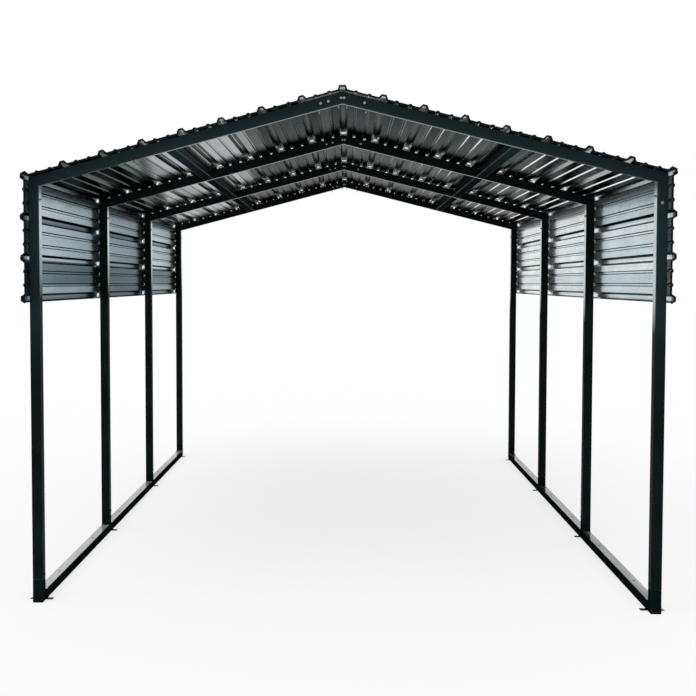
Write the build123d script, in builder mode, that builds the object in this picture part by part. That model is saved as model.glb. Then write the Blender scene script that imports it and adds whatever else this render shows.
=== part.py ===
"""Flat-pack steel carport: four gabled bents of square tube under ribbed metal sheets.

Millimetres. X runs across the width, Y from front to back and Z up.
The origin is on the ground, under the middle of the carport.
"""

import math
import os

from build123d import *

# Overall form
frame_width = 3048
bay_length = 1524
bay_names = ("front", "middle", "rear")
eave_height = 2095
roof_angle = 14.5

# Square tube, and the reduced end that slides into the next tube
tube_size = 50.8
tube_wall = 1.5
tube_corner = 2
spigot_length = 60
spigot_clearance = 0.25
seam_gap = 2

# Connectors of a bent
elbow_drop = 78
elbow_arm = 150
ridge_arm = 122

# Purlins, level with the rafters
purlin_slope_share = 0.56
purlin_seat = 0.2

# Base rails
post_stub_height = 64
strap_width = 30
strap_thickness = 3
strap_foot = 28
strap_seat = 0.2
strap_setback = 6
strap_hole_radius = 6

# Ribbed sheet
sheet_thickness = 0.5
sheet_seat = 0.2
sheet_overhang = 80
end_lap = 100
ribs_per_slope = 8
rib_base = 44
rib_crest = 20
rib_height = 18
stiffener_base = 18
stiffener_crest = 8
stiffener_height = 5
stiffeners_per_flat = 2
ribs_per_sheet = 3
corner_crest = 18
side_ribs = 3
nest_clearance = 0.15
lap_end_share = 0.25

# Derived places
slope = math.radians(roof_angle)
half_width = frame_width / 2
half_tube = tube_size / 2
bent_count = len(bay_names) + 1
bent_places = [(bent - (bent_count - 1) / 2) * bay_length for bent in range(bent_count)]
bent_names = ("front", "second", "third", "rear")
side_signs = {"left": -1, "right": 1}
ridge_top = eave_height + half_width * math.tan(slope)
slope_length = half_width / math.cos(slope)
rib_pitch = slope_length / ribs_per_slope
last_roof_rib = ribs_per_slope - 1
tube_axis_drop = half_tube / math.cos(slope)

tube_bore = tube_size - 2 * tube_wall
spigot_size = tube_bore - 2 * spigot_clearance
spigot_bore = spigot_size - 2 * tube_wall

leg_axis = half_width - half_tube
eave_axis_height = eave_height + half_tube * math.tan(slope) - tube_axis_drop
ridge_axis_height = ridge_top - tube_axis_drop
inner_corner_height = eave_height + tube_size * math.tan(slope) - tube_size / math.cos(slope)
elbow_seam_height = inner_corner_height - elbow_drop
base_seam_height = tube_size + post_stub_height

# Fold of the roof sheet down to the wall, and the room that nested sheets need
half_fold = (math.pi / 2 - slope) / 2
flank_angle = math.atan2(rib_height, (rib_base - rib_crest) / 2)
nest_offset = sheet_thickness + nest_clearance
bay_lift = (nest_offset + nest_offset) / math.cos(flank_angle)


def tube_section(start, direction, size, bore, across=None):
    """A square tube's cross-section with eased edges, set across a direction."""
    level = (1, 0, 0) if direction[1] else (0, 1, 0)
    with BuildSketch(Plane(origin=start, x_dir=across or level, z_dir=direction)) as section:
        Rectangle(size, size)
        chamfer(section.vertices(), length=tube_corner)
        Rectangle(bore, bore, mode=Mode.SUBTRACT)
    return section.sketch


def tube_run(start, direction, length, size, bore, across=None):
    """A straight square tube from a start point along a direction."""
    section = tube_section(start, direction, size, bore, across)
    with BuildPart() as run:
        extrude(section, amount=length)
    return run.part


def spigot(seam, direction):
    """The shoulder and reduced end of a connector, from its seam outwards."""
    shoulder_start = tuple(place - tube_wall * step for place, step in zip(seam, direction))
    shoulder = tube_run(shoulder_start, direction, tube_wall, tube_size, spigot_bore)
    reduced_end = tube_run(seam, direction, spigot_length, spigot_size, spigot_bore)
    return shoulder + reduced_end


def bent_tube(points):
    """A mitred square tube with a spigot at each end, along points in one upright plane."""
    first_step = (Vector(*points[1]) - Vector(*points[0])).normalized()
    last_step = (Vector(*points[-1]) - Vector(*points[-2])).normalized()
    start_spigot = spigot(points[0], tuple(first_step * -1))
    end_spigot = spigot(points[-1], tuple(last_step))
    section = tube_section(points[0], tuple(first_step), tube_size, tube_bore)
    with BuildPart() as tube:
        with BuildLine():
            Polyline(*points)
        sweep(section, transition=Transition.RIGHT)
        add(start_spigot)
        add(end_spigot)
    return tube.part


def roof_axis_point(along, sign, place):
    """A point of a rafter's centre line, measured down the slope from the ridge."""
    return (sign * along * math.cos(slope), place, ridge_axis_height - along * math.sin(slope))


def save(part, name):
    part.label = name
    export_step(part, f"parts/{name}.step")


# Sheet outlines: points along a slope or wall, with their height above it
def rib(centre, base, crest, height):
    return [
        (centre - base / 2, 0),
        (centre - crest / 2, height),
        (centre + crest / 2, height),
        (centre + base / 2, 0),
    ]


def major_rib(centre):
    return rib(centre, rib_base, rib_crest, rib_height)


def covering_rib(centre):
    """The wider rib at a lower edge, which nests over the next sheet's first rib."""
    base = rib_base + 2 * nest_offset / math.sin(flank_angle)
    crest = rib_crest + 2 * nest_offset * math.tan(flank_angle / 2)
    return rib(centre, base, crest, rib_height + nest_offset)


def stiffeners(start):
    """The small ribs between one major rib and the next."""
    points = []
    for step in range(1, stiffeners_per_flat + 1):
        centre = start + step * rib_pitch / (stiffeners_per_flat + 1)
        points += rib(centre, stiffener_base, stiffener_crest, stiffener_height)
    return points


def trimmed(base, crest):
    """Where a lapped flank stops, part of the way from its crest to its base."""
    return tuple(low + lap_end_share * (high - low) for low, high in zip(base, crest))


def opened_rib(points):
    """A rib whose first flank is trimmed, for the upper edge of a sheet."""
    return [trimmed(points[0], points[1])] + points[1:]


def closed_rib(points):
    """A rib whose last flank is trimmed, for the lower edge of a sheet."""
    return points[:-1] + [trimmed(points[-1], points[-2])]


def on_roof(points, lift):
    """Outline points on the right-hand slope, measured from the ridge."""
    placed = []
    for along, height in points:
        across = along * math.cos(slope) + (height + lift) * math.sin(slope)
        rise = (height + lift) * math.cos(slope) - along * math.sin(slope)
        placed.append((across, ridge_top + rise))
    return placed


def on_wall(points, lift):
    """Outline points on the right-hand wall, measured down from the eave."""
    return [(half_width + height + lift, eave_height - along) for along, height in points]


def roof_sheet_outline(first_rib, lift):
    points = opened_rib(major_rib(first_rib * rib_pitch))
    for step in range(ribs_per_sheet):
        points += stiffeners((first_rib + step) * rib_pitch)
        if step + 1 < ribs_per_sheet:
            points += major_rib((first_rib + step + 1) * rib_pitch)
    points += closed_rib(covering_rib((first_rib + ribs_per_sheet) * rib_pitch))
    return on_roof(points, lift)


def ridge_cap_outline(lift):
    right_half = major_rib(0)[2:] + stiffeners(0)
    right_half = on_roof(right_half + closed_rib(covering_rib(rib_pitch)), lift)
    left_half = [(-across, height) for across, height in reversed(right_half)]
    return left_half + right_half


def eave_outline(lift):
    first_rib = last_roof_rib * rib_pitch
    roof_points = opened_rib(major_rib(first_rib)) + stiffeners(first_rib)
    roof_points += major_rib(slope_length)[:2]
    wall_points = major_rib(0)[2:] + stiffeners(0)
    wall_points += closed_rib(covering_rib(rib_pitch))
    reach = lift / math.cos(half_fold) + corner_crest
    crest = (half_width + reach * math.cos(half_fold), eave_height + reach * math.sin(half_fold))
    return on_roof(roof_points, lift) + [crest] + on_wall(wall_points, lift)


def side_sheet_outline(lift):
    points = opened_rib(major_rib(rib_pitch))
    for step in range(2, side_ribs + 1):
        points += stiffeners((step - 1) * rib_pitch)
        points += major_rib(step * rib_pitch)
    return on_wall(closed_rib(points), lift)


def sheet(outline, span, mirrored):
    """A ribbed sheet of even thickness, on the right-hand side or on both."""
    start, end = span
    with BuildPart() as panel:
        with BuildSketch(Plane.XZ.offset(-end)):
            with BuildLine():
                Polyline(*outline)
                offset(amount=sheet_thickness, side=Side.LEFT, kind=Kind.INTERSECTION)
            make_face()
        extrude(amount=end - start)
        if mirrored:
            mirror(about=Plane.YZ)
    return panel.part


os.makedirs("parts", exist_ok=True)

# Legs, and the rafters between the connectors
eave_along = leg_axis / math.cos(slope)
rafter_start = ridge_arm + seam_gap
rafter_length = eave_along - elbow_arm - seam_gap - rafter_start
leg_start = base_seam_height + seam_gap
leg_length = elbow_seam_height - seam_gap - leg_start
for bent_name, place in zip(bent_names, bent_places):
    for side, sign in side_signs.items():
        leg = tube_run((sign * leg_axis, place, leg_start), (0, 0, 1), leg_length, tube_size, tube_bore)
        save(leg, f"{bent_name}_leg_{side}")
        rafter = tube_run(
            roof_axis_point(rafter_start, sign, place),
            (sign * math.cos(slope), 0, -math.sin(slope)),
            rafter_length,
            tube_size,
            tube_bore,
        )
        save(rafter, f"{bent_name}_rafter_{side}")

# Connectors at the eaves and the ridge, one of each kind for every bent
for side, sign in side_signs.items():
    elbows = [
        bent_tube(
            [
                (sign * leg_axis, place, elbow_seam_height),
                (sign * leg_axis, place, eave_axis_height),
                roof_axis_point(eave_along - elbow_arm, sign, place),
            ]
        )
        for place in bent_places
    ]
    with BuildPart() as elbow_set:
        add(elbows)
    save(elbow_set.part, f"eave_elbows_{side}")

ridge_connectors = [
    bent_tube(
        [
            roof_axis_point(ridge_arm, -1, place),
            roof_axis_point(0, 1, place),
            roof_axis_point(ridge_arm, 1, place),
        ]
    )
    for place in bent_places
]
with BuildPart() as ridge_set:
    add(ridge_connectors)
save(ridge_set.part, "ridge_connectors")

# Purlins between the rafters, one on each slope of every bay
purlin_length = bay_length - tube_size - 2 * purlin_seat
purlins = []
for sign in side_signs.values():
    down_slope = (sign * math.cos(slope), 0, -math.sin(slope))
    for place in bent_places[:-1]:
        start = roof_axis_point(purlin_slope_share * eave_along, sign, place + half_tube + purlin_seat)
        purlins.append(tube_run(start, (0, 1, 0), purlin_length, tube_size, tube_bore, down_slope))
with BuildPart() as purlin_set:
    add(purlins)
save(purlin_set.part, "purlins")

# Base rails, jointed at the middle of each bay, with a stub for each leg
rail_start = bent_places[0] - half_tube
rail_end = bent_places[-1] + half_tube
rail_joints = [place + bay_length / 2 for place in bent_places[:-1]]
for side, sign in side_signs.items():
    for number, bent_name in enumerate(bent_names):
        place = bent_places[number]
        start = rail_joints[number - 1] + seam_gap if number else rail_start
        is_last = number == bent_count - 1
        end = rail_end if is_last else rail_joints[number]
        x = sign * leg_axis
        rail_tube = tube_run((x, start, half_tube), (0, 1, 0), end - start, tube_size, tube_bore)
        stub = tube_run((x, place, tube_size), (0, 0, 1), post_stub_height, tube_size, tube_bore)
        stub_end = spigot((x, place, base_seam_height), (0, 0, 1))
        with BuildPart() as rail:
            add(rail_tube)
            add(stub)
            add(stub_end)
            if is_last:
                with Locations((x, rail_end - tube_wall / 2, half_tube)):
                    Box(tube_bore, tube_wall, tube_bore)
            else:
                add(spigot((x, end, half_tube), (0, 1, 0)))
            if not number:
                with Locations((x, rail_start + tube_wall / 2, half_tube)):
                    Box(tube_bore, tube_wall, tube_bore)
        save(rail.part, f"{bent_name}_base_rail_{side}")

# Anchor straps over the base rails, just beside each leg
strap_inner = half_tube + strap_seat
strap_rise = tube_size + strap_seat
strap_reach = strap_inner + strap_thickness + strap_foot
strap_hole_place = strap_inner + strap_thickness + strap_foot / 2
strap_offset = half_tube + strap_setback + strap_width / 2
for side, sign in side_signs.items():
    with BuildPart() as straps:
        for number, place in enumerate(bent_places):
            inward = -1 if number == bent_count - 1 else 1
            middle = place + inward * strap_offset
            strap_plane = Plane(origin=(sign * leg_axis, middle, 0), x_dir=(1, 0, 0), z_dir=(0, -1, 0))
            with BuildSketch(strap_plane):
                with BuildLine():
                    Polyline(
                        (-strap_reach, 0),
                        (-strap_inner, 0),
                        (-strap_inner, strap_rise),
                        (strap_inner, strap_rise),
                        (strap_inner, 0),
                        (strap_reach, 0),
                    )
                    offset(amount=strap_thickness, side=Side.LEFT, kind=Kind.INTERSECTION)
                make_face()
            extrude(amount=strap_width / 2, both=True)
            for foot in (-1, 1):
                with Locations((sign * leg_axis + foot * strap_hole_place, middle, strap_thickness)):
                    Hole(strap_hole_radius, depth=strap_thickness)
    save(straps.part, f"anchor_straps_{side}")

# Ribbed sheets of each bay: the middle bay's lie over the ends of the others
sheet_start = rail_start - sheet_overhang
sheet_end = rail_end + sheet_overhang
joint_places = bent_places[1:-1]
sheet_spans = [
    (sheet_start, joint_places[0] + end_lap / 2),
    (joint_places[0] - end_lap / 2, joint_places[1] + end_lap / 2),
    (joint_places[1] - end_lap / 2, sheet_end),
]
for bay_name, span in zip(bay_names, sheet_spans):
    lift = sheet_seat + (bay_lift if bay_name == "middle" else 0)
    save(sheet(ridge_cap_outline(lift), span, False), f"{bay_name}_ridge_cap")
    upper_outline = roof_sheet_outline(last_roof_rib - 2 * ribs_per_sheet, lift)
    save(sheet(upper_outline, span, True), f"{bay_name}_upper_roof_sheets")
    lower_outline = roof_sheet_outline(last_roof_rib - ribs_per_sheet, lift)
    save(sheet(lower_outline, span, True), f"{bay_name}_lower_roof_sheets")
    save(sheet(eave_outline(lift), span, True), f"{bay_name}_eave_sheets")
    save(sheet(side_sheet_outline(lift), span, True), f"{bay_name}_side_sheets")
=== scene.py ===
"""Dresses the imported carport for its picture: finishes, fixings, studio and camera.

Metres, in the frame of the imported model. X runs across, Y from front to back and Z up.
"""

import math

import bmesh
import bpy
from mathutils import Matrix, Vector


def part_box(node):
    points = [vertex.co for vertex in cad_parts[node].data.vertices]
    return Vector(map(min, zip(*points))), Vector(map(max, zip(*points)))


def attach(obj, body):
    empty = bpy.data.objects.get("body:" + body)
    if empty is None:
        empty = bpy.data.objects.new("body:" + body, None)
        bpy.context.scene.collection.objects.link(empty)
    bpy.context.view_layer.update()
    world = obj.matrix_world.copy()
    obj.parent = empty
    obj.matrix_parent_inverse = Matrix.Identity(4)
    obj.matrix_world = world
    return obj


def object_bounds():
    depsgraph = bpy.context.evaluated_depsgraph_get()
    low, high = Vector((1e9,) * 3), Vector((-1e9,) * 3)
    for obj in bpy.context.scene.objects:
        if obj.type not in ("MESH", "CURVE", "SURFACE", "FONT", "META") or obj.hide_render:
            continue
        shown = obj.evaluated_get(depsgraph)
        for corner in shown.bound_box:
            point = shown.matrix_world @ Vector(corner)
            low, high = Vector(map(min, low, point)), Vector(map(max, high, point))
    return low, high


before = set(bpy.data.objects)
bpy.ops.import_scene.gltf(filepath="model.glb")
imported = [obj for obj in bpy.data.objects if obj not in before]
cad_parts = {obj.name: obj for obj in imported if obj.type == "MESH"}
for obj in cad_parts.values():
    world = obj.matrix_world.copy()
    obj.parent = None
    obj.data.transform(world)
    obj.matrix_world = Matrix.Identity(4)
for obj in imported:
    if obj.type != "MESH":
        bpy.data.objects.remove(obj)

cad_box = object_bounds()

# Structure that carries the fixings, as in the solids
roof_slope = math.radians(14.5)
tube_size = 0.0508
elbow_arm = 0.15
ribs_per_slope = 8
side_ribs = 3
flats_per_rib = 3
ribs_per_sheet = 3
rib_base = 0.044
rib_crest = 0.02
rib_height = 0.018
stiffener_base = 0.018
stiffener_crest = 0.008
stiffener_height = 0.005
corner_crest = 0.018
sheet_top = 0.0007
lapped_sheet_top = 0.0031
lapped_ribs = (1, 4, 7)

# Fixings
head_radius = 0.0042
head_height = 0.0042
head_ease = 0.0008
head_sides = 6
washer_radius = 0.0068
washer_height = 0.0016
washer_sides = 18
screw_from_rib = 0.036
screw_from_seam = 0.02
elbow_screw_rise = 0.012
ridge_screws = (-0.115, -0.076, -0.014, 0.014, 0.115)
ridge_tips = (0.036, 0.131)
tip_radius = 0.0034
tip_core = 0.0026
tip_point = tip_core / 6
tip_length = 0.02
tip_threads = 6
tip_point_threads = 2
tip_sides = 12
stitch_shares = (0.25, 0.5, 0.75)
plug_radius = 0.006
plug_height = 0.0016
plug_steps = 5
plug_sides = 20
plug_bay_share = 0.25
weld_radius = 0.004
weld_ripple = 0.0006
weld_pitch = 0.004
weld_ripple_steps = 4
weld_arc_steps = 4

# Dark guard along the cut front and rear edges of the sheets
guard_outside = 0.0016
guard_inside = 0.0062
guard_depth = 0.008

# Camera
camera_place = (0.0234, -7.559, 1.58)
camera_yaw = math.radians(3.737)
camera_pitch = math.radians(-2.714)
camera_roll = math.radians(-0.023)
camera_lens = 56.47
camera_sensor = 36
camera_shift = (0.104, -0.019)

# Studio
room_light = 0.8
floor_reach = 60
floor_cells = 8
floor_grey = (0.955, 0.955, 0.955)
floor_white = (0.97, 0.97, 0.97)
floor_glow = 0.75
sun_strength = 0.85
sun_spread = math.radians(50)
sun_turn = (math.radians(28), math.radians(-18), 0)

bent_names = ("front", "second", "third", "rear")
middle_bay = 1
left_side = -1
right_side = 1
side_signs = (left_side, right_side)

# The leg screw that shows as bare zinc, by bent number and side
bare_leg_screw = (0, right_side)


def box_middle(name):
    low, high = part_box(name)
    return (Vector(low) + Vector(high)) / 2


bent_places = [box_middle(f"{bent}_leg_left").y for bent in bent_names]
bay_length = bent_places[1] - bent_places[0]
half_tube = tube_size / 2
tube_share = half_tube / bay_length
leg_place = box_middle("front_leg_right").x
wall_place = leg_place + half_tube
ridge_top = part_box("ridge_connectors")[1][2]
slope_length = wall_place / math.cos(roof_slope)
eave_height = ridge_top - wall_place * math.tan(roof_slope)
rib_pitch = slope_length / ribs_per_slope
flat_width = rib_pitch / flats_per_rib
base_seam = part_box("front_leg_right")[0][2]
elbow_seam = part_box("front_leg_right")[1][2]
wall_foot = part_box("front_side_sheets")[0][2]


def roof_place(along, height, sign, y):
    """A point on a slope, measured down from the ridge and up from the tubes' top face."""
    across = along * math.cos(roof_slope) + height * math.sin(roof_slope)
    upward = height * math.cos(roof_slope) - along * math.sin(roof_slope)
    return Vector((sign * across, y, ridge_top + upward))


def roof_normal(sign):
    return Vector((sign * math.sin(roof_slope), 0, math.cos(roof_slope)))


# Mesh helpers
def standing(place, axis):
    """A frame at a place with its Z along an axis."""
    return Matrix.Translation(place) @ Vector(axis).to_track_quat("Z", "Y").to_matrix().to_4x4()


def add_rings(mesh, at, sides, rings):
    """A closed turned form through rings of (radius, height)."""
    loops = []
    for radius, height in rings:
        angles = [2 * math.pi * step / sides for step in range(sides)]
        corners = [Vector((radius * math.cos(a), radius * math.sin(a), height)) for a in angles]
        loops.append([mesh.verts.new(at @ corner) for corner in corners])
    for lower, upper in zip(loops, loops[1:]):
        for step in range(sides):
            after = (step + 1) % sides
            mesh.faces.new((lower[step], lower[after], upper[after], upper[step]))
    mesh.faces.new(list(reversed(loops[0])))
    mesh.faces.new(loops[-1])


def add_screw(mesh, place, axis):
    """A hexagon head on its flanged washer."""
    at = standing(place, axis)
    rim = washer_height / 2
    washer_rings = [(washer_radius, 0), (washer_radius, rim), (head_radius, washer_height)]
    add_rings(mesh, at, washer_sides, washer_rings)
    top = washer_height + head_height
    head_rings = [(head_radius, rim), (head_radius, top - head_ease), (head_radius - head_ease, top)]
    add_rings(mesh, at, head_sides, head_rings)


def add_tip(mesh, place, axis):
    """The threaded, pointed end of a screw that comes through a tube."""
    pitch = tip_length / (tip_threads + tip_point_threads)
    rings = []
    for thread in range(tip_threads):
        rings += [(tip_core, thread * pitch), (tip_radius, (thread + 0.5) * pitch)]
    rings += [(tip_core, tip_threads * pitch), (tip_point, tip_length)]
    add_rings(mesh, standing(place, axis), tip_sides, rings)


def add_plug(mesh, place, axis):
    """A domed plug in a hole."""
    rings = []
    for step in range(plug_steps):
        angle = math.pi / 2 * step / plug_steps
        rings.append((plug_radius * math.cos(angle), plug_height * math.sin(angle)))
    add_rings(mesh, standing(place, axis), plug_sides, rings)


def add_weld(mesh, start, end, up, out):
    """A rippled fillet bead between two points, in the corner of two directions."""
    length = (end - start).length
    steps = round(length / weld_pitch) * weld_ripple_steps
    loops = []
    for step in range(steps + 1):
        middle = start.lerp(end, step / steps)
        reach = weld_radius + weld_ripple * math.sin(2 * math.pi * step / weld_ripple_steps)
        arc = [math.pi / 2 * part / weld_arc_steps for part in range(weld_arc_steps + 1)]
        loop = [middle + reach * (math.cos(angle) * up + math.sin(angle) * out) for angle in arc]
        loops.append([mesh.verts.new(corner) for corner in loop + [middle]])
    for before, after in zip(loops, loops[1:]):
        for corner in range(len(before)):
            following = (corner + 1) % len(before)
            mesh.faces.new((before[corner], before[following], after[following], after[corner]))
    mesh.faces.new(loops[0])
    mesh.faces.new(list(reversed(loops[-1])))


def add_strip(mesh, outline, start, end):
    """A strip of even thickness on both sides of an outline in the XZ plane, between two Y places."""
    loops = []
    for number, point in enumerate(outline):
        before = outline[max(number - 1, 0)]
        after = outline[min(number + 1, len(outline) - 1)]
        first = (point - before).normalized() if number else (after - point).normalized()
        second = (after - point).normalized() if number < len(outline) - 1 else first
        along = (first + second).normalized()
        outward = Vector((-along.y, along.x)) / along.dot(first)
        outer = point + outward * guard_outside
        inner = point - outward * guard_inside
        corners = [(outer, start), (outer, end), (inner, end), (inner, start)]
        loops.append([mesh.verts.new((place.x, y, place.y)) for place, y in corners])
    for before, after in zip(loops, loops[1:]):
        for corner in range(len(before)):
            following = (corner + 1) % len(before)
            mesh.faces.new((before[corner], before[following], after[following], after[corner]))
    mesh.faces.new(loops[0])
    mesh.faces.new(list(reversed(loops[-1])))


def new_piece(name, mesh, material):
    """Turns a mesh under construction into a piece that rides with the carport."""
    bmesh.ops.recalc_face_normals(mesh, faces=mesh.faces)
    data = bpy.data.meshes.new(name)
    mesh.to_mesh(data)
    mesh.free()
    data.materials.append(material)
    piece = bpy.data.objects.new(name, data)
    bpy.context.scene.collection.objects.link(piece)
    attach(piece, "root")


# Material helpers
def new_material(name):
    material = bpy.data.materials.new(name)
    material.use_nodes = True
    tree = material.node_tree
    return material, tree, tree.nodes["Principled BSDF"]


def node(tree, kind, inputs=None, **settings):
    """A shader node with its settings, values and links."""
    made = tree.nodes.new(kind)
    for name, value in settings.items():
        setattr(made, name, value)
    for name, value in (inputs or {}).items():
        if isinstance(value, bpy.types.NodeSocket):
            tree.links.new(value, made.inputs[name])
        else:
            made.inputs[name].default_value = value
    return made


def math_node(tree, operation, first, second=0.0):
    return node(tree, "ShaderNodeMath", {0: first, 1: second}, operation=operation).outputs["Value"]


def object_place(tree):
    return node(tree, "ShaderNodeTexCoord").outputs["Object"]


def stretched_place(tree, scale):
    """The place on the object, stretched."""
    return node(tree, "ShaderNodeMapping", {"Vector": object_place(tree), "Scale": scale}).outputs["Vector"]


def components(tree, vector):
    """The X, Y and Z of a vector."""
    return node(tree, "ShaderNodeSeparateXYZ", {"Vector": vector}).outputs


def noise(tree, vector, scale, detail=2.0):
    inputs = {"Vector": vector, "Scale": scale, "Detail": detail}
    return node(tree, "ShaderNodeTexNoise", inputs).outputs["Fac"]


def ramp(tree, value, stops, interpolation="LINEAR"):
    """A colour ramp through (place, colour) stops."""
    made = node(tree, "ShaderNodeValToRGB", {"Fac": value})
    made.color_ramp.interpolation = interpolation
    elements = made.color_ramp.elements
    while len(elements) < len(stops):
        elements.new(1)
    for element, (place, colour) in zip(elements, stops):
        element.position = place
        element.color = (*colour, 1)
    return made.outputs["Color"]


def grey_steps(tree, value, stops):
    """A value that changes in steps at (place, value) stops."""
    return ramp(tree, value, [(place, (grey, grey, grey)) for place, grey in stops], "CONSTANT")


def spread(tree, value, low, high, start=0.0, end=1.0):
    """A value brought from one range to another."""
    ends = {"Value": value, "From Min": start, "From Max": end, "To Min": low, "To Max": high}
    return node(tree, "ShaderNodeMapRange", ends).outputs["Result"]


def rise(tree, value, start, end):
    """0 at the start and 1 at the end, which may be the smaller of the two."""
    return spread(tree, value, 0, 1, start, end)


def fall(tree, value, start, end):
    """1 at the start and 0 at the end."""
    return spread(tree, value, 1, 0, start, end)


def blend_colours(tree, share, first, second, blend_type="MIX"):
    inputs = {0: share, 6: first, 7: second}
    return node(tree, "ShaderNodeMix", inputs, data_type="RGBA", blend_type=blend_type).outputs[2]


def blend_metals(tree, share, first, second):
    """A blend of two metals, each with its colour face on and its colour at a flat angle."""
    return [blend_colours(tree, share, *colours) for colours in zip(first, second)]


def blend_values(tree, share, first, second):
    return node(tree, "ShaderNodeMix", {0: share, 2: first, 3: second}, data_type="FLOAT").outputs[0]


def surface_normal(tree):
    return node(tree, "ShaderNodeNewGeometry").outputs["Normal"]


def edge_mask(tree, radius):
    """Rises from 0 on a flat to 1 along sharp edges."""
    flat_cosine = 0.99
    edge_cosine = 0.85
    rounded = node(tree, "ShaderNodeBevel", {"Radius": radius}, samples=4).outputs["Normal"]
    normals = {0: rounded, 1: surface_normal(tree)}
    same = node(tree, "ShaderNodeVectorMath", normals, operation="DOT_PRODUCT").outputs["Value"]
    return rise(tree, same, flat_cosine, edge_cosine)


def bumped(tree, shader, height, strength, distance):
    bump = node(tree, "ShaderNodeBump", {"Height": height, "Strength": strength, "Distance": distance})
    tree.links.new(bump.outputs["Normal"], shader.inputs["Normal"])


def cell_chance(tree, first, second, third):
    """A number from 0 to 1 that is the same all over a cell with three whole numbers."""
    cell = node(tree, "ShaderNodeCombineXYZ", {"X": first, "Y": second, "Z": third}).outputs["Vector"]
    return node(tree, "ShaderNodeTexWhiteNoise", {"Vector": cell}).outputs["Value"]


def front_to_rear(tree, bay, front, rear):
    """One value in the front bay, another in the rear bay and their mean in the middle bay."""
    return spread(tree, bay, front, rear, -1, 1)


# Finishes
half_bay = 0.5
tube_face_share = half_bay - tube_share


class CarportPlace:
    """Where a shaded point lies on the carport and which way it faces, as shader values."""

    def __init__(self, tree):
        side_blur = 0.001
        self.place = object_place(tree)
        axes = components(tree, self.place)
        normal = components(tree, surface_normal(tree))
        self.x = axes["X"]
        self.y = axes["Y"]
        self.z = axes["Z"]
        self.left = fall(tree, self.x, -side_blur, side_blur)
        self.upward = normal["Z"]
        # Above 0 where a face looks away from the middle, and below 0 where it looks towards it
        self.outward = math_node(tree, "MULTIPLY", normal["X"], self.x)
        # Bays from the second bent to the rear: whole at the bents, and below 0 in the front bay
        from_second_bent = math_node(tree, "ADD", self.y, bay_length / 2)
        self.along_bays = math_node(tree, "DIVIDE", from_second_bent, bay_length)
        self.bay_share = math_node(tree, "FRACT", self.along_bays)
        # Share of a bay between its middle and the point
        past_middle = math_node(tree, "SUBTRACT", self.bay_share, half_bay)
        self.from_bay_middle = math_node(tree, "ABSOLUTE", past_middle)


class SheetPlace(CarportPlace):
    """The same for the sheets, with their bay, their ribs and the overhang at the front."""

    def __init__(self, tree):
        super().__init__(tree)
        eave_blur = 0.001
        overhang_blur = 0.03
        overhang_end = bent_places[0] - half_tube
        ridge_strip_end = (0.19, 0.21)
        underside_limits = (-0.1, -0.2)
        # -1 in the front bay, 0 in the middle bay and 1 in the rear bay
        self.bay = math_node(tree, "FLOOR", self.along_bays)
        self.from_ridge = math_node(tree, "ABSOLUTE", self.x)
        self.along_ribs = math_node(tree, "DIVIDE", self.from_ridge, rib_pitch * math.cos(roof_slope))
        self.above_eave = rise(tree, self.z, eave_height - eave_blur, eave_height)
        self.underside = rise(tree, self.upward, *underside_limits)
        self.overhang = fall(tree, self.y, overhang_end, overhang_end + overhang_blur)
        near_ridge = fall(tree, self.from_ridge, *ridge_strip_end)
        self.beside_ridge = math_node(tree, "MULTIPLY", self.overhang, near_ridge)


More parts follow.
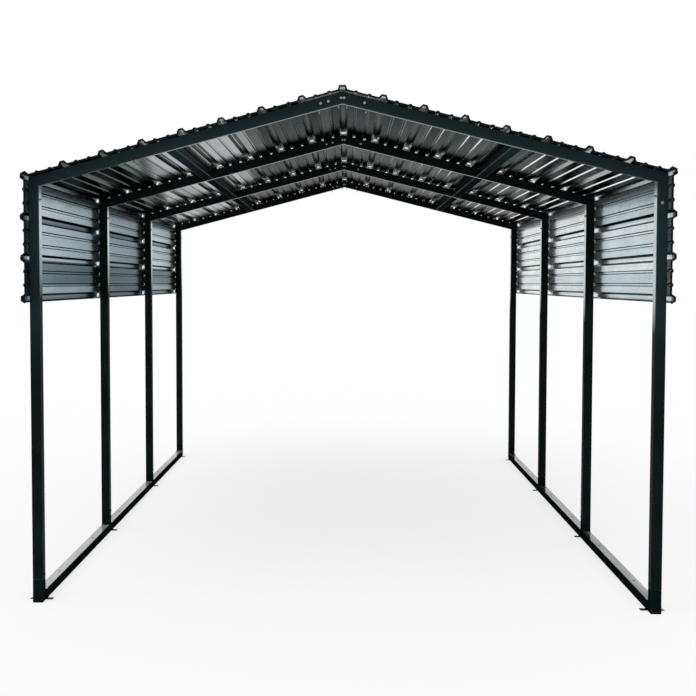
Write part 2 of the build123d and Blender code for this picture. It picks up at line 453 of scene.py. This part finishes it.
def make_coating(name, rail):
    """Near-black powder coat: matt, but glossy on level faces and on the legs' inner faces beside the
    sheets, which carry a painted reflection of the sheets.
    """
    material, tree, shader = new_material(name)
    at = CarportPlace(tree)

    # Tops, undersides, those of the bents' rear halves, and the legs' inner faces beside the sheets
    top_limits = (0.9, 0.97)
    under_limits = (-0.9, -0.96)
    inner_limits = (-1.3, -1)
    rear_half_blur = 0.0001
    # Heights of the painted reflection of the sheets on the legs' inner faces, right and left
    right_reflection_heights = (wall_foot - 0.15, wall_foot + 0.1)
    left_reflection_heights = (wall_foot + 0.02, wall_foot + 0.36)
    top_face = rise(tree, at.upward, *top_limits)
    faces_down = rise(tree, at.upward, *under_limits)
    rear_half = fall(tree, at.bay_share, tube_share, tube_share + rear_half_blur)
    under_face = math_node(tree, "MULTIPLY", faces_down, rear_half)
    inner_face = fall(tree, at.outward, *inner_limits)
    reflection_start = blend_values(tree, at.left, right_reflection_heights[0], left_reflection_heights[0])
    reflection_end = blend_values(tree, at.left, right_reflection_heights[1], left_reflection_heights[1])
    beside_sheet = rise(tree, at.z, reflection_start, reflection_end)
    inner_face_by_sheets = math_node(tree, "MULTIPLY", inner_face, beside_sheet)

    # Colour: painted light high on the front bent, painted highlights along edges, dust on the tops and a
    # painted reflection of the sheets beside them
    deep_black = (0.0024, 0.0056, 0.0057)
    pale_black = (0.005, 0.01, 0.0102)
    painted_light_black = (0.02, 0.036, 0.041, 1)
    painted_light_share = 0.7
    painted_light_heights = (1.1, 1.7)
    share_behind = 0.1
    front_bay = (bent_places[0] + half_tube, bent_places[1] - half_tube)
    painted_edge_highlight = (0.03, 0.042, 0.044, 1)
    edge_share = 0.12
    painted_purlin_highlight = (0.24, 0.25, 0.24, 1)
    purlin_under_limits = (-0.4, -0.5)
    purlin_end_blur = 0.0005
    painted_sheet_reflection = (0.2, 0.31, 0.36, 1)
    cloud = noise(tree, at.place, scale=7, detail=4)
    colour = ramp(tree, cloud, [(0.3, deep_black), (0.7, pale_black)])
    # Painted light: paler high up, mostly on the front bent and much less on the bents behind it
    upper = spread(tree, at.z, 0, painted_light_share, *painted_light_heights)
    in_front = spread(tree, at.y, 1, share_behind, *front_bay)
    upper = math_node(tree, "MULTIPLY", upper, in_front)
    colour = blend_colours(tree, upper, colour, painted_light_black)
    # Painted highlight along the edges
    edge = edge_mask(tree, radius=0.003)
    colour = blend_colours(tree, spread(tree, edge, 0, edge_share), colour, painted_edge_highlight)
    # Painted highlight along the lower edges of the tubes between the bents
    between_bents = fall(tree, at.from_bay_middle, tube_face_share - purlin_end_blur, tube_face_share)
    low_face = math_node(tree, "MULTIPLY", between_bents, rise(tree, at.upward, *purlin_under_limits))
    bright_edge = math_node(tree, "MULTIPLY", edge, low_face)
    colour = blend_colours(tree, bright_edge, colour, painted_purlin_highlight)
    if rail:
        thin_dust = (0.04, 0.046, 0.046)
        thick_dust = (0.42, 0.44, 0.44)
        dust_stretch = (9, 1.1, 9)
        right_dust_loss = 0.12
        film = noise(tree, stretched_place(tree, dust_stretch), scale=1, detail=4)
        film = math_node(tree, "SUBTRACT", film, spread(tree, at.left, right_dust_loss, 0))
        dust = ramp(tree, film, [(0.36, thin_dust), (0.62, thick_dust)])
        colour = blend_colours(tree, top_face, colour, dust)
    # Painted reflection of the sheets on the legs' inner faces beside them
    colour = blend_colours(tree, inner_face_by_sheets, colour, painted_sheet_reflection)
    tree.links.new(colour, shader.inputs["Base Color"])

    # Gloss: none on undersides, apart from the bents' rear halves
    matt_roughness = (0.46, 0.58)
    gloss_roughness = (0.1, 0.18)
    coat_roughness = 0.1
    top_level = 0.6
    upright_level = 0 if rail else 0.02
    under_level = 0.05
    peel = noise(tree, at.place, scale=40, detail=3)
    matt = spread(tree, peel, *matt_roughness)
    glossy = spread(tree, peel, *gloss_roughness)
    level_face = math_node(tree, "MAXIMUM", top_face, under_face)
    shine = math_node(tree, "MAXIMUM", level_face, inner_face_by_sheets)
    tree.links.new(blend_values(tree, shine, matt, glossy), shader.inputs["Roughness"])
    specular = math_node(tree, "MAXIMUM", spread(tree, top_face, upright_level, top_level), inner_face_by_sheets)
    specular = math_node(tree, "MULTIPLY", specular, fall(tree, faces_down, 0, 1))
    specular = math_node(tree, "MAXIMUM", specular, spread(tree, under_face, 0, under_level))
    tree.links.new(specular, shader.inputs["Specular IOR Level"])
    # The socket's own value serves a model format that has no room for the link
    shader.inputs["Specular IOR Level"].default_value = under_level
    shader.inputs["Coat Roughness"].default_value = coat_roughness
    tree.links.new(inner_face_by_sheets, shader.inputs["Coat Weight"])
    bumped(tree, shader, noise(tree, at.place, scale=700), strength=0.05, distance=0.001)
    return material


def painted_underside_flats(tree, at):
    """Flats under the roof in painted shade: a tone for each, darker to the rear as painted shade, with
    light bands of painted reflection on the left slope.
    """
    reflection_band_stops = [(0, 0.3), (0.28, 0.62), (0.36, 0.82), (0.74, 0.12)]
    band_shift = 6
    right_slope_tone = 0.36
    light_tone = 0.6
    rear_shade = 0.3
    tone_change = 0.14
    # Dark colours of the underside are painted shade, and light ones painted reflections
    painted_underside_stops = [
        (0, (0.012, 0.018, 0.016)),
        (0.3, (0.036, 0.046, 0.043)),
        (0.65, (0.09, 0.1, 0.095)),
        (0.72, (0.32, 0.345, 0.34)),
    ]
    painted_underside_edge_stops = [
        (0, (0.06, 0.085, 0.08)),
        (0.3, (0.15, 0.18, 0.175)),
        (0.65, (0.27, 0.29, 0.28)),
        (0.72, (0.72, 0.76, 0.76)),
    ]
    across_flat = flat_width * math.cos(roof_slope)
    flat = math_node(tree, "FLOOR", math_node(tree, "DIVIDE", at.from_ridge, across_flat))
    band_place = math_node(tree, "SUBTRACT", flat, front_to_rear(tree, at.bay, 0, band_shift))
    slope_share = math_node(tree, "DIVIDE", band_place, flats_per_rib * ribs_per_slope)
    tone = blend_values(tree, at.left, right_slope_tone, grey_steps(tree, slope_share, reflection_band_stops))
    # Painted shade: the dark flats darker towards the rear
    dark_flat = math_node(tree, "LESS_THAN", tone, light_tone)
    depth_shade = math_node(tree, "MULTIPLY", dark_flat, front_to_rear(tree, at.bay, 0, rear_shade))
    tone = math_node(tree, "SUBTRACT", tone, depth_shade)
    chance = cell_chance(tree, flat, at.bay, at.left)
    tone = math_node(tree, "ADD", tone, spread(tree, chance, -tone_change, tone_change))
    return [ramp(tree, tone, stops) for stops in (painted_underside_stops, painted_underside_edge_stops)]


def painted_underside_ribs(tree, at, flats):
    """The roof underside with its flats, its crests and a strip by the ridge, painted lit in the overhang,
    and its flanks, painted lit on the right and shaded on the left.
    """
    # Painted light and shade: lit and shaded copies of the crests, stiffeners and flanks, and a lit strip
    # by the ridge
    shaded_crest = ((0.075, 0.085, 0.08, 1), (0.24, 0.26, 0.25, 1))
    lit_crest = ((0.24, 0.26, 0.255, 1), (0.7, 0.74, 0.73, 1))
    lit_ridge_strip = ((0.4, 0.42, 0.41, 1), (0.85, 0.88, 0.87, 1))
    lit_right_stiffener = ((0.85, 0.88, 0.88, 1), (1, 1, 1, 1))
    shaded_left_stiffener = ((0.13, 0.15, 0.145, 1), (0.4, 0.43, 0.42, 1))
    lit_right_flank = ((0.45, 0.48, 0.48, 1), (0.7, 0.73, 0.73, 1))
    shaded_left_flank = ((0.16, 0.175, 0.17, 1), (0.45, 0.48, 0.47, 1))
    half_rib = 0.5
    crest_share = rib_crest / rib_pitch / 2
    crest_blur = 1.1
    flat_limits = (-0.64, -0.72)
    stiffener_limits = (-0.4, -0.46)
    rib_share = math_node(tree, "FRACT", math_node(tree, "ADD", at.along_ribs, half_rib))
    from_crest = math_node(tree, "ABSOLUTE", math_node(tree, "SUBTRACT", rib_share, half_rib))
    on_crest = fall(tree, from_crest, crest_share, crest_share * crest_blur)
    on_crest = math_node(tree, "MULTIPLY", on_crest, at.above_eave)
    crest = blend_metals(tree, at.overhang, shaded_crest, lit_crest)
    painted_underside = blend_metals(tree, at.beside_ridge, flats, lit_ridge_strip)
    painted_underside = blend_metals(tree, on_crest, painted_underside, crest)
    stiffener = blend_metals(tree, at.left, lit_right_stiffener, shaded_left_stiffener)
    rib_flank = blend_metals(tree, at.left, lit_right_flank, shaded_left_flank)
    flank = blend_metals(tree, rise(tree, at.upward, *stiffener_limits), rib_flank, stiffener)
    return blend_metals(tree, rise(tree, at.upward, *flat_limits), flank, painted_underside)


def painted_wall_inside(tree, at):
    """Walls inside, in painted reflections and painted shade, with a tone for each flat.

    On the left they are darker low down, to the rear of each bay and in the middle bay, and on the
    right lighter towards the rear.
    """
    # Light and dark rows of painted reflection on the left wall
    reflection_row_stops = [(0, 0.6), (0.315, 0.1), (0.35, 0.64), (0.67, 0.04), (0.89, 0.36), (0.97, 0.1)]
    middle_bay_shade = 0.32
    bay_depth_shade = 0.2
    right_tones = (0.86, 1.1)
    tone_change = 0.1
    painted_wall_stops = [
        (0, (0.055, 0.085, 0.095)),
        (0.5, (0.2, 0.285, 0.32)),
        (0.8, (0.46, 0.58, 0.63)),
        (1, (0.86, 0.91, 0.93)),
    ]
    painted_wall_edge_stops = [(0, (0.36, 0.43, 0.46)), (0.5, (0.7, 0.77, 0.8)), (1, (0.95, 0.99, 1))]
    below_eave = math_node(tree, "SUBTRACT", eave_height, at.z)
    flat = math_node(tree, "FLOOR", math_node(tree, "DIVIDE", below_eave, flat_width))
    depth = math_node(tree, "DIVIDE", below_eave, side_ribs * rib_pitch)
    outer_bay = math_node(tree, "ABSOLUTE", at.bay)
    left_tone = grey_steps(tree, depth, reflection_row_stops)
    # Painted shade in the middle bay and to the rear of each bay
    left_tone = math_node(tree, "SUBTRACT", left_tone, spread(tree, outer_bay, middle_bay_shade, 0))
    depth_shade = spread(tree, at.bay_share, -bay_depth_shade, bay_depth_shade)
    left_tone = math_node(tree, "SUBTRACT", left_tone, depth_shade)
    tone = blend_values(tree, at.left, front_to_rear(tree, at.bay, *right_tones), left_tone)
    chance = cell_chance(tree, at.left, at.bay, flat)
    tone = math_node(tree, "ADD", tone, spread(tree, chance, -tone_change, tone_change))
    return [ramp(tree, tone, stops) for stops in (painted_wall_stops, painted_wall_edge_stops)]


def over_tubes(tree, at):
    """1 in the grooves over the tubes behind the front bent, and 0 elsewhere."""
    groove_blur = 0.001
    behind_front_bays = (-0.6, -0.5)
    over_tube = rise(tree, at.from_bay_middle, tube_face_share - groove_blur, tube_face_share)
    return math_node(tree, "MULTIPLY", over_tube, rise(tree, at.along_bays, *behind_front_bays))


def outside_silver(tree, at):
    """Even silver of the outside, a little different on every sheet."""
    silver_stops = [(0, (0.46, 0.505, 0.525)), (1, (0.52, 0.57, 0.59))]
    silver_edge = (0.93, 0.97, 0.98, 1)
    from_first_lap = math_node(tree, "ADD", at.along_ribs, ribs_per_sheet - lapped_ribs[0])
    sheet_number = math_node(tree, "FLOOR", math_node(tree, "DIVIDE", from_first_lap, ribs_per_sheet))
    chance = cell_chance(tree, sheet_number, at.bay, at.left)
    return ramp(tree, chance, silver_stops), silver_edge


def make_galvanised():
    """Bright galvanised sheet, with spangle and marbling, and inside a tone on every flat in painted
    reflections and painted shade.
    """
    material, tree, shader = new_material("galvanised_sheet")
    at = SheetPlace(tree)

    # Inside, with painted light over the tubes, where light comes through the grooves, and outside
    painted_groove_light = ((0.92, 0.94, 0.94, 1), (1, 1, 1, 1))
    wall_outside_limits = (0.05, 0.2)
    roof_outside_limits = (0.05, 0.15)
    painted_underside = painted_underside_ribs(tree, at, painted_underside_flats(tree, at))
    metal = blend_metals(tree, at.underside, painted_wall_inside(tree, at), painted_underside)
    metal = blend_metals(tree, over_tubes(tree, at), metal, painted_groove_light)
    wall_outside = rise(tree, at.outward, *wall_outside_limits)
    roof_outside = rise(tree, at.upward, *roof_outside_limits)
    outside = blend_values(tree, at.above_eave, wall_outside, roof_outside)
    colour, edge_colour = blend_metals(tree, outside, metal, outside_silver(tree, at))

    # Marbling, streaks along the ribs and spangle
    marble_stretch = (7, 2.5, 7)
    marble_shades = (0.6, 1.25)
    streak_stretch = (60, 0.8, 60)
    streak_shades = (0.75, 1.2)
    spangle_scale = 70
    spangle_grey = (0.6, 0.6, 0.6, 1)
    spangle_share = 0.25
    marbling = noise(tree, stretched_place(tree, marble_stretch), scale=1, detail=5)
    marbling = spread(tree, marbling, *marble_shades)
    streaks = noise(tree, stretched_place(tree, streak_stretch), scale=1, detail=3)
    streaks = spread(tree, streaks, *streak_shades)
    shade = math_node(tree, "MULTIPLY", marbling, streaks)
    colour = blend_colours(tree, 1, colour, shade, "MULTIPLY")
    cells = node(tree, "ShaderNodeTexVoronoi", {"Vector": at.place, "Scale": spangle_scale})
    grain = node(tree, "ShaderNodeRGBToBW", {"Color": cells.outputs["Color"]}).outputs["Val"]
    colour = blend_colours(tree, spread(tree, grain, 0, spangle_share), colour, spangle_grey, "MULTIPLY")
    tree.links.new(colour, shader.inputs["Base Color"])
    tree.links.new(edge_colour, shader.inputs["Specular Tint"])

    # Metal, less bare off the undersides and beside the ridge, with a wavy gloss
    least_metal = 0.78
    ridge_metal_loss = 0.8
    roughness = (0.1, 0.2)
    wave_stretch = (5, 1.2, 5)
    bare_metal = spread(tree, at.underside, least_metal, 1)
    bare_metal = math_node(tree, "SUBTRACT", bare_metal, spread(tree, at.beside_ridge, 0, ridge_metal_loss))
    tree.links.new(bare_metal, shader.inputs["Metallic"])
    tree.links.new(spread(tree, grain, *roughness), shader.inputs["Roughness"])
    waves = noise(tree, stretched_place(tree, wave_stretch), scale=1)
    bumped(tree, shader, waves, strength=0.05, distance=0.01)
    return material


def make_zinc():
    """Zinc plate of the screws, mottled and dulled in places."""
    dull_zinc = (0.24, 0.25, 0.26)
    bright_zinc = (0.5, 0.51, 0.52)
    material, tree, shader = new_material("zinc_fixing")
    place = object_place(tree)
    mottle = noise(tree, place, scale=160, detail=3)
    colour = ramp(tree, mottle, [(0.35, dull_zinc), (0.65, bright_zinc)])
    tree.links.new(colour, shader.inputs["Base Color"])
    shader.inputs["Metallic"].default_value = 1
    tree.links.new(spread(tree, noise(tree, place, scale=300), 0.25, 0.45), shader.inputs["Roughness"])
    return material


def make_rubber():
    """Black rubber of the edge guards and plugs, slightly greyed."""
    fresh_black = (0.0015, 0.0018, 0.0018)
    greyed_black = (0.005, 0.0058, 0.006)
    material, tree, shader = new_material("black_rubber")
    place = object_place(tree)
    bloom = noise(tree, place, scale=30, detail=4)
    colour = ramp(tree, bloom, [(0.3, fresh_black), (0.7, greyed_black)])
    tree.links.new(colour, shader.inputs["Base Color"])
    tree.links.new(spread(tree, noise(tree, place, scale=90), 0.6, 0.8), shader.inputs["Roughness"])
    shader.inputs["Specular IOR Level"].default_value = 0.1
    bumped(tree, shader, noise(tree, place, scale=900), strength=0.1, distance=0.0005)
    return material


rail_coating = make_coating("dark_rail_coat", rail=True)
plain_coating = make_coating("dark_powder_coat", rail=False)
galvanised = make_galvanised()
zinc = make_zinc()
rubber = make_rubber()

for name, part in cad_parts.items():
    if "sheet" in name or "ridge_cap" in name:
        finish = galvanised
    elif "base_rail" in name or "anchor_straps" in name:
        finish = rail_coating
    else:
        finish = plain_coating
    for material_slot in part.material_slots:
        material_slot.material = finish


# Screws that hold the sheets to the bents
def bent_sheet_top(number):
    return sheet_top if number in (0, len(bent_places) - 1) else lapped_sheet_top


roof_screw_mesh = bmesh.new()
wall_screw_mesh = bmesh.new()
for number, y in enumerate(bent_places):
    height = bent_sheet_top(number)
    for sign in side_signs:
        for rib_number in range(ribs_per_slope):
            along = rib_number * rib_pitch + screw_from_rib
            add_screw(roof_screw_mesh, roof_place(along, height, sign, y), roof_normal(sign))
        for rib_number in range(side_ribs):
            down = rib_number * rib_pitch + screw_from_rib
            place = Vector((sign * (wall_place + height), y, eave_height - down))
            add_screw(wall_screw_mesh, place, (sign, 0, 0))
new_piece("roof_screws", roof_screw_mesh, zinc)
new_piece("wall_screws", wall_screw_mesh, zinc)

# Stitch screws along the lapped ribs
stitch_mesh = bmesh.new()
for number, y in enumerate(bent_places[:-1]):
    lift = lapped_sheet_top if number == middle_bay else sheet_top
    crest = rib_height + lift + sheet_top
    for share in stitch_shares:
        for sign in side_signs:
            for rib_number in lapped_ribs:
                place = roof_place(rib_number * rib_pitch, crest, sign, y + share * bay_length)
                add_screw(stitch_mesh, place, roof_normal(sign))
            place = Vector((sign * (wall_place + crest), y + share * bay_length, eave_height - rib_pitch))
            add_screw(stitch_mesh, place, (sign, 0, 0))
new_piece("stitch_screws", stitch_mesh, zinc)

# Screws at the seams of the bents
face_screw_mesh = bmesh.new()
painted_screw_mesh = bmesh.new()
tip_mesh = bmesh.new()
eave_along = leg_place / math.cos(roof_slope)
for number, y in enumerate(bent_places):
    face = y - half_tube
    for sign in side_signs:
        inner = sign * (leg_place - half_tube)
        for height in (base_seam + screw_from_seam, elbow_seam + elbow_screw_rise):
            add_screw(painted_screw_mesh, Vector((inner, y, height)), (-sign, 0, 0))
        leg_mesh = face_screw_mesh if (number, sign) == bare_leg_screw else painted_screw_mesh
        add_screw(leg_mesh, Vector((sign * leg_place, face, elbow_seam - screw_from_seam)), (0, -1, 0))
        elbow_place = roof_place(eave_along - elbow_arm - screw_from_seam, -half_tube, sign, face)
        add_screw(painted_screw_mesh, elbow_place, (0, -1, 0))
        for along in ridge_tips:
            add_tip(tip_mesh, roof_place(along, -tube_size, sign, y), -roof_normal(sign))
    for along in ridge_screws:
        sign = math.copysign(1, along)
        add_screw(face_screw_mesh, roof_place(abs(along), -half_tube, sign, face), (0, -1, 0))
new_piece("face_screws", face_screw_mesh, zinc)
new_piece("painted_screws", painted_screw_mesh, plain_coating)
new_piece("ridge_screw_tips", tip_mesh, zinc)

# Weld beads at the foot of each stub, and plugs in the tops of the rails
weld_mesh = bmesh.new()
plug_mesh = bmesh.new()
up = Vector((0, 0, 1))
for number, y in enumerate(bent_places):
    for sign in side_signs:
        for out in (-1, 1):
            inside_run = 0 <= number + out < len(bent_places)
            if inside_run:
                start = Vector((sign * leg_place - half_tube, y + out * half_tube, tube_size))
                add_weld(weld_mesh, start, start + Vector((tube_size, 0, 0)), up, Vector((0, out, 0)))
                plug_place = Vector((sign * leg_place, y + out * plug_bay_share * bay_length, tube_size))
                add_plug(plug_mesh, plug_place, up)
new_piece("stub_welds", weld_mesh, plain_coating)
new_piece("rail_plugs", plug_mesh, rubber)


# Guards on the cut edges of the sheets
def rib_outline(centre, base, crest, height):
    return [
        (centre - base / 2, 0),
        (centre - crest / 2, height),
        (centre + crest / 2, height),
        (centre + base / 2, 0),
    ]


def ribbed_outline(ribs):
    """Outline points from the middle of one rib to the first flank of another, some ribs on."""
    points = rib_outline(0, rib_base, rib_crest, rib_height)[2:]
    for number in range(ribs):
        for step in range(1, flats_per_rib):
            centre = number * rib_pitch + step * flat_width
            points += rib_outline(centre, stiffener_base, stiffener_crest, stiffener_height)
        points += rib_outline((number + 1) * rib_pitch, rib_base, rib_crest, rib_height)
    return points


half_fold = (math.pi / 2 - roof_slope) / 2
right_outline = []
for along, height in ribbed_outline(ribs_per_slope)[:-2]:
    place = roof_place(along, height + sheet_top, right_side, 0)
    right_outline.append(Vector((place.x, place.z)))
fold = Vector((math.cos(half_fold), math.sin(half_fold)))
right_outline.append(Vector((wall_place, eave_height)) + (corner_crest + sheet_top) * fold)
for down, height in ribbed_outline(side_ribs):
    right_outline.append(Vector((wall_place + height + sheet_top, eave_height - down)))
left_outline = [Vector((-point.x, point.y)) for point in reversed(right_outline)]
edge_outline = left_outline + right_outline
front_edge, rear_edge = cad_box[0][1], cad_box[1][1]
for name, start, end in (
    ("front_edge_guard", front_edge, front_edge + guard_depth),
    ("rear_edge_guard", rear_edge - guard_depth, rear_edge),
):
    guard_mesh = bmesh.new()
    add_strip(guard_mesh, edge_outline, start, end)
    new_piece(name, guard_mesh, rubber)

# Studio: a white room whose floor keeps the shadow
scene = bpy.context.scene
scene.view_settings.view_transform = "Standard"


def seen_directly(tree):
    """1 for rays that show the background itself, and 0 for rays that only gather light."""
    ray = node(tree, "ShaderNodeLightPath").outputs
    mirrored = math_node(tree, "MAXIMUM", ray["Is Glossy Ray"], ray["Is Transmission Ray"])
    return math_node(tree, "MAXIMUM", ray["Is Camera Ray"], mirrored)


world = bpy.data.worlds.new("studio")
world.use_nodes = True
scene.world = world
background = world.node_tree.nodes["Background"]
background.inputs["Color"].default_value = (1, 1, 1, 1)
world_level = spread(world.node_tree, seen_directly(world.node_tree), room_light, 1)
world.node_tree.links.new(world_level, background.inputs["Strength"])

floor_material, floor_tree, floor_shader = new_material("pale_floor")
mottle = noise(floor_tree, object_place(floor_tree), scale=3, detail=3)
floor_colour = ramp(floor_tree, mottle, [(0.3, floor_grey), (0.7, floor_white)])
floor_tree.links.new(floor_colour, floor_shader.inputs["Base Color"])
floor_shader.inputs["Roughness"].default_value = 1
floor_shader.inputs["Specular IOR Level"].default_value = 0
white = node(floor_tree, "ShaderNodeEmission", {"Color": (1, 1, 1, 1), "Strength": 1})
glow = math_node(floor_tree, "MULTIPLY", seen_directly(floor_tree), floor_glow)
floor_inputs = {0: glow, 1: floor_shader.outputs[0], 2: white.outputs[0]}
floor_mix = node(floor_tree, "ShaderNodeMixShader", floor_inputs)
floor_tree.links.new(floor_mix.outputs[0], floor_tree.nodes["Material Output"].inputs["Surface"])
floor_mesh = bmesh.new()
bmesh.ops.create_grid(floor_mesh, x_segments=floor_cells, y_segments=floor_cells, size=floor_reach)
floor_data = bpy.data.meshes.new("floor")
floor_mesh.to_mesh(floor_data)
floor_mesh.free()
floor_data.materials.append(floor_material)
floor = bpy.data.objects.new("floor", floor_data)
scene.collection.objects.link(floor)

sun_data = bpy.data.lights.new("soft_key", "SUN")
sun_data.energy = sun_strength
sun_data.angle = sun_spread
sun = bpy.data.objects.new("soft_key", sun_data)
sun.rotation_euler = sun_turn
scene.collection.objects.link(sun)

# Camera at the photograph's place
camera_data = bpy.data.cameras.new("camera")
camera_data.lens = camera_lens
camera_data.sensor_width = camera_sensor
camera_data.shift_x, camera_data.shift_y = camera_shift
camera = bpy.data.objects.new("camera", camera_data)
turn = Matrix.Rotation(camera_yaw, 4, "Z") @ Matrix.Rotation(math.pi / 2 + camera_pitch, 4, "X")
camera.matrix_world = Matrix.Translation(camera_place) @ turn @ Matrix.Rotation(camera_roll, 4, "Z")
scene.collection.objects.link(camera)
scene.camera = camera
